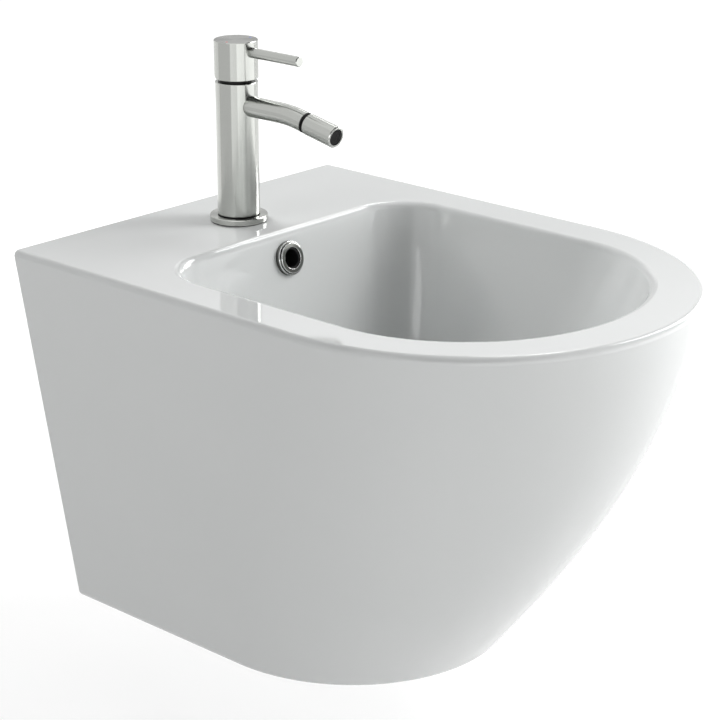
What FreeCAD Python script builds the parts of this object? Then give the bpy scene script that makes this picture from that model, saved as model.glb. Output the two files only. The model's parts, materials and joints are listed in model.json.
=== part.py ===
import FreeCAD, Part
import math
import os
import re
import Sketcher

# Wall-hung bidet with a single-lever mixer tap, in millimetres.
# +Z is up, the front faces -Y, the wall plane is y = 0 and the origin lies
# midway between the two wall-fixing holes.

# Driving dimensions. "Level" is a distance below the rim, "setback" a distance from the wall.
SIZES = {
    # Ceramic body outside
    "rim_height": 85,
    "body_width": 366.6,
    "body_depth": 491.6,
    "body_height": 319,
    "side_straight": 302,
    "base_width": 263.4,
    "base_set_in": 168.6,
    "base_straight": 188,
    "upper_level": 105,
    "upper_set_in": 27.2,
    "lower_level": 210,
    "lower_set_in": 85.4,
    "shell_wall": 12,
    "deck_thickness": 14,
    "rim_edge": 4.5,
    "base_edge": 7.5,
    # Bowl
    "side_rim": 41.5,
    "opening_rear": 119,
    "opening_straight": 316,
    "front_rim": 43.4,
    "opening_corner": 46,
    "opening_roll": 6.5,
    "bowl_depth": 150,
    "bowl_wall": 10,
    "bowl_lean": 0.42,
    "bowl_roundness": 3,
    "drain_setback": 245,
    "drain_land": 38,
    "drain_land_front": 41,
    "drain_corner": 30.4,
    # Overflow channel behind and under the bowl
    "duct_width": 28,
    "duct_wall": 6,
    "duct_setback": 97,
    "drain_chamber": 32,
    "drain_chamber_height": 18,
    "drain_floor": 8,
    # Rear band with the fixing holes
    "band_thickness": 16,
    "band_height": 70,
    "fixing_distance": 180,
    "fixing_hole": 9,
    # Wall fixings
    "fixing_bore": 6.4,
    "sleeve_flange": 13,
    "sleeve_flange_thickness": 2,
    "washer_radius": 15,
    "washer_thickness": 2.5,
    "fixing_nut_flats": 19,
    "fixing_nut_height": 10,
    # Overflow ring
    "overflow_level": 22,
    "overflow_seat_depth": 0.8,
    "overflow_ring_radius": 14,
    "overflow_ring_height": 5.5,
    "overflow_step": 4,
    "overflow_tube": 10.6,
    "overflow_tube_length": 11,
    "overflow_bore": 8.8,
    "overflow_sleeve_wall": 1.2,
    "overflow_hole_reach": 15,
    # Clearances
    "fit_gap": 0.05,
    "seat_gap": 0.05,
    "hole_gap": 0.4,
    "running_gap": 0.3,
    # Tap column and base
    "tap_setback": 67.5,
    "tap_hole": 17.5,
    "base_seal_thickness": 0.8,
    "base_ring_radius": 24,
    "base_ring_height": 4.5,
    "base_ring_edge": 0.6,
    "spigot_radius": 14.4,
    "spigot_rise": 0.3,
    "column_radius": 17.5,
    "column_height": 111,
    "column_edge": 0.4,
    "foot_groove_height": 1,
    "foot_groove_depth": 1.2,
    "inlet_spread": 6.8,
    "inlet_forward": 3,
    "inlet_passage": 2,
    "thread_spread": 5.5,
    "thread_forward": 4.8,
    "inlet_thread": 4.5,
    "inlet_thread_depth": 14,
    "inlet_bore": 3,
    # Tap fastening under the deck
    "stud_setback": 8.8,
    "stud_radius": 4,
    "stud_grip": 12,
    "stud_length": 72,
    "gasket_thickness": 3,
    "plate_thickness": 2.5,
    "plate_radius": 21,
    "hose_slot_width": 26,
    "hose_slot_rear": 2.5,
    "stud_nut_flats": 13,
    "stud_nut_height": 12,
    # Spout and swivelling nozzle
    "spout_height": 97.5,
    "spout_radius": 8.4,
    "spout_bore": 5,
    "spout_run": 50,
    "spout_bend": 100,
    "spout_tail": 7.5,
    "nozzle_tilt": 11.5,
    "joint_gap": 2.6,
    "spout_seal_thickness": 0.4,
    "spout_seal_edge": 0.2,
    "nozzle_radius": 8.75,
    "nozzle_length": 30.5,
    "nozzle_bore": 6.8,
    "nozzle_rear_chamfer": 1.2,
    "nozzle_front_chamfer": 0.5,
    "ball_inset": 4.5,
    "ball_radius": 5.8,
    "ball_neck": 2.6,
    "ball_passage": 1.8,
    "swivel_gap": 0.05,
    "seat_thickness": 0.7,
    "seat_rear": 3,
    "seat_front": 1.8,
    "clamp_ring_start": 4.2,
    "clamp_ring_length": 3,
    "clamp_ring_bore": 4.4,
    "aerator_recess": 1,
    "aerator_wall": 1.1,
    "aerator_seal_thickness": 1.5,
    "screen_thickness": 0.8,
    "screen_hole": 0.5,
    "screen_pitch": 1.6,
    # Cartridge
    "chamber_bore": 14.1,
    "chamber_depth": 28.3,
    "cartridge_radius": 12.4,
    "cartridge_wall": 1.8,
    "inlet_seal_height": 1.5,
    "inlet_seal_wall": 1.6,
    "cartridge_base_height": 4.5,
    "fixed_disc_height": 4,
    "fixed_disc_gap": 0.2,
    "disc_inlet": 2.4,
    "disc_outlet_setback": 6,
    "disc_outlet": 2.8,
    "moving_disc_radius": 6.6,
    "moving_disc_height": 3.5,
    "slider_width": 8.6,
    "slider_length": 8.4,
    "slider_overlap": 1.2,
    "slider_side_gap": 0.2,
    "slider_play": 0.25,
    "carrier_rise": 4,
    "carrier_ring_height": 5,
    "carrier_neck": 9,
    "carrier_slot_end": 1.8,
    "cheek_height": 3.5,
    "cartridge_lid": 1.7,
    "outlet_window_width": 10,
    "outlet_window_height": 6,
    # Handle
    "head_gap": 2.7,
    "head_radius": 18,
    "head_height": 31.2,
    "head_edge": 0.5,
    "lift_angle": 25,
    "lift_relief_start": 5.4,
    "dome_radius": 15.2,
    "dome_wall": 1.6,
    "dome_hole": 11,
    "dome_gap": 0.4,
    "stem_radius": 3.6,
    "stem_reach": 24,
    "stem_arm": 8,
    "stem_tip": 2.2,
    "stem_neck": 1.4,
    "stem_hub": 3.4,
    "stem_pin_radius": 1.5,
    "lever_radius": 4.1,
    "lever_height": 22.7,
    "lever_reach": 71,
    "lever_inset": 8,
    "lever_edge": 0.5,
    "grub_radius": 2.5,
    "grub_height": 20,
    "grub_length": 8,
    "grub_cap_length": 3,
    "mark_radius": 1.1,
    "mark_spread": 13.3,
    "mark_forward": 3.2,
    "mark_depth": 0.5,
    # Waste fitting
    "waste_flange": 31,
    "waste_flange_thickness": 3,
    "waste_lip": 0.6,
    "waste_seal_thickness": 1.2,
    "barrel_radius": 20.9,
    "barrel_wall": 2.5,
    "barrel_length": 80,
    "drain_clearance": 2.1,
    "overflow_slot_width": 8,
    "overflow_slot_height": 12,
    "hub_radius": 7,
    "hub_level": 50,
    "hub_height": 6,
    "hub_arm_width": 4,
    "bottom_seal_radius": 30,
    "bottom_seal_thickness": 3.5,
    "back_nut_flats": 56,
    "back_nut_height": 10,
    "tail_radius": 16,
    "tail_wall": 1.5,
    "tail_length": 55,
    "tail_collar_wall": 2.5,
    "tail_collar_grip": 14,
    "tail_collar_floor": 3,
    "tail_seal_thickness": 2,
    # Click plug
    "plug_cap": 30,
    "plug_cap_thickness": 3.2,
    "plug_cap_crown": 1.2,
    "plug_seal_inner": 19.5,
    "plug_seal_outer": 25,
    "plug_seal_height": 1.6,
    "plug_rod": 3,
    "plug_piston": 4.6,
    "plug_piston_height": 10,
    "plug_travel": 8,
    "click_bore": 5,
    "click_rim": 4,
    "plug_spring_height": 10,
    "plug_spring_wall": 1.2,
}

doc = FreeCAD.newDocument("wall_hung_bidet")
sheet = doc.addObject("Spreadsheet::Sheet", "dim")
for row, (name, size) in enumerate(SIZES.items(), start=1):
    sheet.set(f"A{row}", name)
    sheet.set(f"B{row}", str(size))
    sheet.setAlias(f"B{row}", name)
doc.recompute()

pieces = []

X_AXIS = FreeCAD.Vector(1, 0, 0)
Y_AXIS = FreeCAD.Vector(0, 1, 0)
WHOLE_TURN = 360
ON_LEVEL = 0.001
BESIDE_EDGE = 1


# Helpers for sheet values

def on_sheet(formula):
    """The formula with each size name pointing at its cell."""
    def cell(match):
        word = match.group(0)
        return "dim." + word if word in SIZES else word
    return re.sub(r"[a-z_]+", cell, formula)


def number(formula):
    """What the formula comes to with the sheet's values."""
    result = sheet.evalExpression(on_sheet(formula))
    return float(getattr(result, "Value", result))


def bind(item, **formulas):
    """Tie properties of an object to formulas of sheet values."""
    for key, formula in formulas.items():
        item.setExpression(key, on_sheet(formula))


def place(item, x="0", y="0", z="0", turn=None):
    """Put an object at a point, turned about an axis by an angle formula."""
    if turn:
        axis, angle = turn
        item.Placement = FreeCAD.Placement(FreeCAD.Vector(), FreeCAD.Rotation(axis, number(angle)))
        item.setExpression("Placement.Rotation.Angle", on_sheet(angle))
    for key, formula in zip("xyz", (x, y, z)):
        item.setExpression("Placement.Base." + key, on_sheet(formula))
    return item


# Helpers for sketches and features

def new_body(label):
    body = doc.addObject("PartDesign::Body", label)
    body.Label = label
    return body


def new_sketch(body, role, offset="0"):
    """A sketch on one of the body's own origin planes, moved along the plane's normal."""
    sketch = body.newObject("Sketcher::SketchObject", "outline")
    plane = [feature for feature in body.Origin.OriginFeatures if feature.Role == role][0]
    sketch.AttachmentSupport = [(plane, "")]
    sketch.MapMode = "FlatFace"
    sketch.setExpression("AttachmentOffset.Base.z", on_sheet(offset))
    return sketch


def hold(sketch, kind, *where, formula):
    """Add one dimension to a sketch and tie it to a formula."""
    index = sketch.addConstraint(Sketcher.Constraint(kind, *where, number(formula)))
    sketch.setExpression(f"Constraints[{index}]", on_sheet(formula))


def hold_point(sketch, edge, end, x, y):
    """Hold one end of an edge at two distances from the sketch origin."""
    for kind, formula, axis in (("DistanceX", x, -2), ("DistanceY", y, -1)):
        if formula == "0":
            sketch.addConstraint(Sketcher.Constraint("PointOnObject", edge, end, axis))
        else:
            hold(sketch, kind, -1, 1, edge, end, formula=formula)


def draw_outline(sketch, corners):
    """A closed outline of straight edges through corners given as formulas."""
    points = [FreeCAD.Vector(number(x), number(y), 0) for x, y in corners]
    count = len(points)
    for index in range(count):
        sketch.addGeometry(Part.LineSegment(points[index], points[(index + 1) % count]), False)
    for index in range(count):
        sketch.addConstraint(Sketcher.Constraint("Coincident", index, 2, (index + 1) % count, 1))
    for index, (x, y) in enumerate(corners):
        hold_point(sketch, index, 1, x, y)


def draw_circle(sketch, radius, x="0", y="0"):
    """A circle round a point given as formulas."""
    centre = FreeCAD.Vector(number(x), number(y), 0)
    edge = sketch.addGeometry(Part.Circle(centre, FreeCAD.Vector(0, 0, 1), number(radius)), False)
    hold_point(sketch, edge, 3, x, y)
    hold(sketch, "Radius", edge, formula=radius)


def turned(label, corners):
    """A body turned about its own Z axis from an outline of (radius, height) corners."""
    body = new_body(label)
    sketch = new_sketch(body, "XZ_Plane")
    draw_outline(sketch, corners)
    revolution = body.newObject("PartDesign::Revolution", "turned")
    revolution.Profile = sketch
    revolution.ReferenceAxis = (sketch, ["V_Axis"])
    revolution.Angle = WHOLE_TURN
    return body


def ring(label, inner, outer, low, high):
    """A plain ring or, with an inner radius of 0, a disc."""
    return turned(label, [(inner, low), (outer, low), (outer, high), (inner, high)])


def pad(body, sketch, length):
    feature = body.newObject("PartDesign::Pad", "pad")
    feature.Profile = sketch
    bind(feature, Length=length)
    return feature


def plate(label, corners, low, height):
    """A body padded upwards from an outline in plan."""
    body = new_body(label)
    sketch = new_sketch(body, "XY_Plane", low)
    draw_outline(sketch, corners)
    pad(body, sketch, height)
    return body


def cylinder(body, radius, height, x="0", y="0", z="0", turn=None, cut=True):
    """A round hole in a body, or a round boss on it."""
    kind = "PartDesign::SubtractiveCylinder" if cut else "PartDesign::AdditiveCylinder"
    feature = body.newObject(kind, "round")
    bind(feature, Radius=radius, Height=height)
    return place(feature, x, y, z, turn)


def box(body, low, size, cut=True):
    """A rectangular hole in a body, or a block on it, from its low corner."""
    kind = "PartDesign::SubtractiveBox" if cut else "PartDesign::AdditiveBox"
    feature = body.newObject(kind, "block")
    bind(feature, Length=size[0], Width=size[1], Height=size[2])
    return place(feature, *low)


def sphere(body, radius, z="0", cut=True):
    """A ball-shaped hollow in a body, or a ball on it, on the body's Z axis."""
    kind = "PartDesign::SubtractiveSphere" if cut else "PartDesign::AdditiveSphere"
    feature = body.newObject(kind, "ball")
    bind(feature, Radius=radius)
    return place(feature, z=z)


def polar(body, feature, count):
    """Repeat a feature evenly round the body's Z axis."""
    doc.recompute()
    pattern = body.newObject("PartDesign::PolarPattern", "round_pattern")
    pattern.Originals = [feature]
    axis = [line for line in body.Origin.OriginFeatures if line.Role == "Z_Axis"][0]
    pattern.Axis = (axis, [""])
    pattern.Angle = WHOLE_TURN
    pattern.Occurrences = count
    body.Tip = pattern


def hexagon(flats):
    """Corners of a hexagon in plan, measured across its flats."""
    side = f"({flats}) / 2"
    point = f"({flats}) / sqrt(3)"
    half_point = f"({flats}) / sqrt(12)"
    return [(side, half_point), ("0", point), (f"-{side}", half_point),
            (f"-{side}", f"-{half_point}"), ("0", f"-{point}"), (side, f"-{half_point}")]


def keep(item):
    """Add a finished sub-part to those that are written out."""
    pieces.append(item)
    return item


def keep_pair(body, label):
    """Two copies mirrored across the symmetry plane, as one sub-part."""
    other = doc.addObject("Part::Mirroring", label + "_mirrored")
    other.Source = body
    other.Normal = X_AXIS
    pair = doc.addObject("Part::Compound", label)
    pair.Links = [body, other]
    pair.Label = label
    keep(pair)


# Helpers for the rounded plan outlines of the ceramic

def flat(x, y):
    return FreeCAD.Vector(x, y, 0)


def quarter_arc(centre, first, last):
    """A quarter circle from one point to another."""
    middle = (first + last) * 0.5 - centre
    middle.normalize()
    return Part.Arc(first, centre + middle * (first - centre).Length, last)


def shared_ends(sketch, first, second):
    """The end numbers at which two edges of a sketch meet."""
    def apart(ends):
        return (sketch.getPoint(first, ends[0]) - sketch.getPoint(second, ends[1])).Length
    return min([(one, two) for one in (1, 2) for two in (1, 2)], key=apart)


def join(sketch, kind, first, second):
    ends = shared_ends(sketch, first, second)
    sketch.addConstraint(Sketcher.Constraint(kind, first, ends[0], second, ends[1]))


def draw_nose(sketch, half, straight, front):
    """Half an ellipse from one side to the other round the front; gives its edge number."""
    wide = number(half)
    shoulder = -number(straight)
    nose = f"(({front}) - ({straight}))"
    side = flat(wide, shoulder)
    tip = flat(0, -number(front))
    long_nose = number(nose) > wide
    ends = (tip, side) if long_nose else (side, tip)
    ellipse = Part.Ellipse(*ends, flat(0, shoulder))
    first, last = sorted((ellipse.parameter(side), ellipse.parameter(flat(-wide, shoulder))))
    edge = sketch.addGeometry(Part.ArcOfEllipse(ellipse, first, last), False)
    if sketch.Geometry[edge].value((first + last) / 2).y > shoulder:
        sketch.delGeometry(edge)
        edge = sketch.addGeometry(Part.ArcOfEllipse(ellipse, last, first + 2 * math.pi), False)
    sketch.exposeInternalGeometry(edge)
    major = edge + 1
    minor = edge + 2
    sketch.addConstraint(Sketcher.Constraint("PointOnObject", edge, 3, -2))
    hold(sketch, "DistanceY", -1, 1, edge, 3, formula=f"-({straight})")
    sketch.addConstraint(Sketcher.Constraint("Vertical" if long_nose else "Horizontal", major))
    hold(sketch, "Distance", major if long_nose else minor, formula=f"2 * {nose}")
    hold(sketch, "Distance", minor if long_nose else major, formula=f"2 * ({half})")
    for end in (1, 2):
        sketch.addConstraint(Sketcher.Constraint("Horizontal", edge, end, edge, 3))
    return edge


def plan_sketch(body, level, half, rear, straight, front, corner=None):
    """A plan outline on a level below the rim: flat rear, straight sides and an elliptical nose."""
    sketch = new_sketch(body, "XY_Plane", f"rim_height - ({level})")
    nose = draw_nose(sketch, half, straight, front)
    wide = number(half)
    back = -number(rear)
    shoulder = -number(straight)
    bend = number(corner) if corner else 0
    right, rear_line, left = [sketch.addGeometry(Part.LineSegment(flat(*first), flat(*last)), False)
                              for first, last in (((wide, shoulder), (wide, back - bend)),
                                                  ((wide - bend, back), (bend - wide, back)),
                                                  ((-wide, back - bend), (-wide, shoulder)))]
    join(sketch, "Coincident", nose, right)
    join(sketch, "Coincident", nose, left)
    sketch.addConstraint(Sketcher.Constraint("Vertical", right))
    sketch.addConstraint(Sketcher.Constraint("Vertical", left))
    sketch.addConstraint(Sketcher.Constraint("Horizontal", rear_line))
    if number(rear) == 0:
        sketch.addConstraint(Sketcher.Constraint("PointOnObject", rear_line, 1, -1))
    else:
        hold(sketch, "DistanceY", -1, 1, rear_line, 1, formula=f"-({rear})")
    if not corner:
        join(sketch, "Coincident", right, rear_line)
        join(sketch, "Coincident", left, rear_line)
        return sketch
    for hand, side in ((1, right), (-1, left)):
        inset = hand * (wide - bend)
        arc = quarter_arc(flat(inset, back - bend), flat(inset, back), flat(hand * wide, back - bend))
        edge = sketch.addGeometry(arc, False)
        join(sketch, "Tangent", edge, side)
        join(sketch, "Tangent", edge, rear_line)
        hold(sketch, "Radius", edge, formula=corner)
    return sketch


def loft(body, kind, sketches):
    feature = body.newObject("PartDesign::" + kind, "loft")
    feature.Profile = sketches[0]
    feature.Sections = sketches[1:]
    feature.Refine = False
    doc.recompute()
    return feature


def round_edges(body, base, edge_names, radius):
    feature = body.newObject("PartDesign::Fillet", "rounding")
    feature.Base = (base, edge_names)
    bind(feature, Radius=radius)
    doc.recompute()
    return feature


def edges_on_level(shape, height, inside):
    """Names of the edges that lie flat on a height and pass a test of their middle point."""
    names = []
    for index, edge in enumerate(shape.Edges, start=1):
        box_of_edge = edge.BoundBox
        level = max(abs(box_of_edge.ZMin - height), abs(box_of_edge.ZMax - height)) < ON_LEVEL
        if level and inside(edge.valueAt((edge.FirstParameter + edge.LastParameter) / 2)):
            names.append(f"Edge{index}")
    return names


# Ceramic body: a shell open behind and below, with the bowl hung in it

def side_at(level):
    """Half the outside width on a level; the sides lean in evenly."""
    return f"(body_width / 2 - (body_width - base_width) / 2 * ({level}) / body_height)"


def straight_at(level):
    """Length of the straight sides on a level."""
    return f"(side_straight - (side_straight - base_straight) * ({level}) / body_height)"


OUTSIDE = [("0", "body_depth"), ("upper_level", "body_depth - upper_set_in"),
           ("lower_level", "body_depth - lower_set_in"), ("body_height", "body_depth - base_set_in")]
DECK_DEPTH = "(body_depth - upper_set_in * deck_thickness / upper_level)"
HOLLOW = [("deck_thickness", DECK_DEPTH)] + OUTSIDE[1:3] + [("body_height + shell_wall", OUTSIDE[3][1])]
OPENING_HALF = "(body_width / 2 - side_rim)"
OPENING_FRONT = "(body_depth - front_rim)"
BOWL_SHARES = ("0", "0.35", "0.65", "0.85", "0.95", "1")


def bowl_sketches(body, wall):
    """Sections of the bowl, or of its outside when a wall is added to it."""
    sketches = []
    for share in BOWL_SHARES:
        spread = f"((1 - bowl_lean * {share}) * (1 - {share} ^ bowl_roundness) ^ (1 / bowl_roundness))"

        def blend(at_drain, at_rim):
            return f"({at_drain} + ({at_rim} - ({at_drain})) * {spread})"

        sketches.append(plan_sketch(
            body,
            f"(bowl_depth + {wall}) * {share}",
            f"{blend('drain_land', OPENING_HALF)} + {wall}",
            f"{blend('(drain_setback - drain_land)', 'opening_rear')} - {wall}",
            blend("drain_setback", "opening_straight"),
            f"{blend('(drain_setback + drain_land_front)', OPENING_FRONT)} + {wall}",
            f"{blend('drain_corner', 'opening_corner')} + {wall}"))
    return sketches


CHAMBER_LEVEL = "(bowl_depth + bowl_wall)"
CHAMBER_END = f"({CHAMBER_LEVEL} + drain_chamber_height)"
DRAIN_END = f"({CHAMBER_END} + drain_floor)"
WALL_SLOPE = "((drain_setback - drain_land - opening_rear) * bowl_lean / bowl_depth)"
WALL_LEAN = f"atan({WALL_SLOPE})"
RECESS_DEPTH = "(waste_seal_thickness + waste_flange_thickness - waste_lip)"


def overflow_at(depth):
    """Where a piece sits on the overflow's axis, a depth behind the face of the bowl's rear wall."""
    return {"y": f"-opening_rear - overflow_level * {WALL_SLOPE} + {depth} * cos({WALL_LEAN})",
            "z": f"rim_height - overflow_level - {depth} * sin({WALL_LEAN})",
            "turn": (X_AXIS, f"90 deg - {WALL_LEAN}")}


def off_the_wall(point):
    return point.y < -BESIDE_EDGE


def in_opening(point):
    """Whether a point on the rim lies on the edge of the bowl's opening."""
    from_wall = -point.y
    lengthwise = number("opening_rear") - BESIDE_EDGE < from_wall < number(OPENING_FRONT) + BESIDE_EDGE
    return lengthwise and abs(point.x) < number(OPENING_HALF) + BESIDE_EDGE


def make_ceramic():
    body = new_body("ceramic_body")
    outside = loft(body, "AdditiveLoft", [
        plan_sketch(body, level, side_at(level), "0", straight_at(level), depth)
        for level, depth in OUTSIDE])
    rim = edges_on_level(outside.Shape, number("rim_height"), off_the_wall)
    rounded_rim = round_edges(body, outside, rim, "rim_edge")
    base = edges_on_level(rounded_rim.Shape, number("rim_height - body_height"), off_the_wall)
    round_edges(body, rounded_rim, base, "base_edge")
    loft(body, "SubtractiveLoft", [
        plan_sketch(body, level, f"{side_at(level)} - shell_wall", "-shell_wall", straight_at(level),
                    f"{depth} - shell_wall")
        for level, depth in HOLLOW])
    make_rear_band(body)
    make_overflow_channel(body)
    loft(body, "AdditiveLoft", bowl_sketches(body, "bowl_wall"))
    bowl = loft(body, "SubtractiveLoft", bowl_sketches(body, "0"))
    roll = edges_on_level(bowl.Shape, number("rim_height"), in_opening)
    round_edges(body, bowl, roll, "opening_roll")
    make_ceramic_holes(body)
    keep(body)


def make_rear_band(body):
    """A thick band across the open back, which the wall fixings pass through."""
    sketch = new_sketch(body, "XZ_Plane")
    top = side_at("rim_height - band_height / 2") + " - shell_wall / 2"
    bottom = side_at("rim_height + band_height / 2") + " - shell_wall / 2"
    draw_outline(sketch, [(f"-({bottom})", "-band_height / 2"), (bottom, "-band_height / 2"),
                          (top, "band_height / 2"), (f"-({top})", "band_height / 2")])
    pad(body, sketch, "band_thickness")


def make_overflow_channel(body):
    """The channel behind the bowl and the chamber round the drain, before the bowl fills its place."""
    block_half = "(duct_width / 2 + duct_wall)"
    box(body, (f"-{block_half}", "-drain_setback", f"rim_height - {DRAIN_END}"),
        (f"2 * {block_half}", "drain_setback - duct_setback + duct_wall",
         f"{DRAIN_END} - deck_thickness / 2"), cut=False)
    cylinder(body, "drain_chamber + drain_floor", f"{DRAIN_END} - bowl_depth",
             y="-drain_setback", z=f"rim_height - {DRAIN_END}", cut=False)
    box(body, ("-duct_width / 2", "-drain_setback", f"rim_height - {CHAMBER_END}"),
        ("duct_width", "drain_setback - duct_setback", f"{CHAMBER_END} - deck_thickness"))
    cylinder(body, "drain_chamber", f"{CHAMBER_END} - bowl_depth",
             y="-drain_setback", z=f"rim_height - {CHAMBER_END}")


def make_ceramic_holes(body):
    """Tap hole, drain with its recess, overflow hole with its seat, and the two fixing holes."""
    cylinder(body, "tap_hole", "3 * deck_thickness", y="-tap_setback", z="rim_height - 2 * deck_thickness")
    cylinder(body, "barrel_radius + drain_clearance", f"{DRAIN_END} - bowl_depth + 2 * drain_floor",
             y="-drain_setback", z=f"rim_height - {DRAIN_END} - drain_floor")
    cylinder(body, "waste_flange + hole_gap", f"{RECESS_DEPTH} + bowl_wall",
             y="-drain_setback", z=f"rim_height - bowl_depth - {RECESS_DEPTH}")
    cylinder(body, "overflow_ring_radius + hole_gap", "overflow_ring_radius",
             **overflow_at("overflow_seat_depth"))
    cylinder(body, "overflow_tube + hole_gap", "overflow_hole_reach", **overflow_at("overflow_hole_reach"))
    for side in ("-", ""):
        cylinder(body, "fixing_hole", "3 * band_thickness", x=f"{side}fixing_distance / 2",
                 y="band_thickness", turn=(X_AXIS, "90"))


# Wall fixings: a sleeve, a washer and a nut at each hole, measured forward from the wall plane

def make_wall_fixings():
    def fixing(body):
        return place(body, x="fixing_distance / 2", turn=(X_AXIS, "90"))

    shank = "(fixing_hole - hole_gap)"
    flange_end = "(band_thickness + sleeve_flange_thickness)"
    washer_end = f"({flange_end} + washer_thickness)"
    sleeve = turned("fixing_sleeve", [
        ("fixing_bore", "0"), (shank, "0"), (shank, "band_thickness"), ("sleeve_flange", "band_thickness"),
        ("sleeve_flange", flange_end), ("fixing_bore", flange_end)])
    keep_pair(fixing(sleeve), "fixing_sleeves")
    washer = ring("fixing_washer", "fixing_bore", "washer_radius", flange_end, washer_end)
    keep_pair(fixing(washer), "fixing_washers")
    nut = plate("fixing_nut", hexagon("fixing_nut_flats"), washer_end, "fixing_nut_height")
    cylinder(nut, "fixing_bore", "fixing_nut_height", z=washer_end)
    keep_pair(fixing(nut), "fixing_nuts")


# Overflow ring and sleeve, along the axis square to the bowl's rear wall

def make_overflow():
    def overflow(body):
        return keep(place(body, **overflow_at("overflow_seat_depth")))

    step = "(overflow_ring_height - overflow_step)"
    overflow(turned("overflow_ring", [
        ("overflow_bore", "-overflow_tube_length"), ("overflow_tube", "-overflow_tube_length"),
        ("overflow_tube", "0"), ("overflow_ring_radius", "0"), ("overflow_ring_radius", "overflow_step"),
        (f"overflow_ring_radius - {step}", "overflow_step"),
        (f"overflow_ring_radius - {step}", "overflow_ring_height"),
        (f"overflow_bore + {step}", "overflow_ring_height"),
        ("overflow_bore", "overflow_step")]))
    sleeve_outer = "(overflow_bore - fit_gap)"
    overflow(ring("overflow_sleeve", f"{sleeve_outer} - overflow_sleeve_wall", sleeve_outer,
                  "-overflow_tube_length", "overflow_step"))


# Tap heights are measured up from the deck, on the tap's axis

FOOT = "(base_seal_thickness + base_ring_height)"
COLUMN_TOP = f"({FOOT} + column_height)"
FLOOR = f"({COLUMN_TOP} - chamber_depth)"
PIVOT = f"({COLUMN_TOP} + head_gap)"
HEAD_TOP = f"({PIVOT} + head_height)"


def tap(body, x="0", y="0", z="0", turn=None):
    """Place a tap piece by its offset from the tap's axis on the deck, and keep it."""
    return keep(place(body, x, f"-tap_setback + {y}", f"rim_height + {z}", turn))


def make_tap_column():
    bore = "(spigot_radius + fit_gap)"
    tap(ring("tap_base_seal", bore, "base_ring_radius - base_ring_edge", "0", "base_seal_thickness"))
    tap(turned("tap_base_ring", [
        (bore, "base_seal_thickness"), ("base_ring_radius", "base_seal_thickness"),
        ("base_ring_radius", f"{FOOT} - base_ring_edge"), ("base_ring_radius - base_ring_edge", FOOT),
        (bore, FOOT)]))
    groove = "(column_radius - foot_groove_depth)"
    groove_top = f"({FOOT} + foot_groove_height)"
    column = turned("tap_body", [
        ("0", "spigot_rise"), ("spigot_radius", "spigot_rise"), ("spigot_radius", FOOT), (groove, FOOT),
        (groove, groove_top), ("column_radius", groove_top), ("column_radius", f"{COLUMN_TOP} - column_edge"),
        ("column_radius - column_edge", COLUMN_TOP), ("chamber_bore", COLUMN_TOP), ("chamber_bore", FLOOR),
        ("0", FLOOR)])
    for side in ("-", ""):
        cylinder(column, "inlet_passage", FLOOR, x=f"{side}inlet_spread", y="-inlet_forward",
                 z="spigot_rise + inlet_thread_depth / 2")
        cylinder(column, "inlet_thread", "inlet_thread_depth", x=f"{side}thread_spread",
                 y="-thread_forward", z="spigot_rise")
    cylinder(column, "stud_radius + fit_gap", "stud_grip", y="stud_setback", z="spigot_rise")
    cylinder(column, "spout_bore", "2 * (column_radius - chamber_bore)", y="fit_gap - chamber_bore",
             z="spout_height", turn=(X_AXIS, "90"))
    tap(column)


def make_tap_fastening():
    gasket_low = "(-deck_thickness - gasket_thickness)"
    plate_low = f"({gasket_low} - plate_thickness)"
    for label, low, high in (("horseshoe_gasket", gasket_low, "-deck_thickness"),
                             ("horseshoe_plate", plate_low, gasket_low)):
        shoe = ring(label, "0", "plate_radius", low, high)
        box(shoe, ("-hose_slot_width / 2", "-plate_radius", low),
            ("hose_slot_width", "plate_radius + hose_slot_rear", f"{high} - {low}"))
        cylinder(shoe, "stud_radius + hole_gap", f"{high} - {low}", y="stud_setback", z=low)
        tap(shoe)
    nut_low = f"({plate_low} - stud_nut_height)"
    nut = plate("mounting_nut", hexagon("stud_nut_flats"), nut_low, "stud_nut_height")
    cylinder(nut, "stud_radius + fit_gap", "stud_nut_height", z=nut_low)
    tap(nut, y="stud_setback")
    stud_top = "(stud_grip + spigot_rise)"
    tap(ring("mounting_stud", "0", "stud_radius", f"{stud_top} - stud_length", stud_top), y="stud_setback")


# Spout: straight out of the column, bent gently down to the swivelling nozzle

BEND_Y = "(-spout_run - spout_bend * sin(nozzle_tilt))"
BEND_Z = "(spout_height - spout_bend * (1 - cos(nozzle_tilt)))"
SPOUT_Y = f"({BEND_Y} - spout_tail * cos(nozzle_tilt))"
SPOUT_Z = f"({BEND_Z} - spout_tail * sin(nozzle_tilt))"
BALL_Y = f"({SPOUT_Y} - (joint_gap + ball_inset) * cos(nozzle_tilt))"
BALL_Z = f"({SPOUT_Z} - (joint_gap + ball_inset) * sin(nozzle_tilt))"
NOZZLE_END = "(nozzle_length - ball_inset)"


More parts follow.
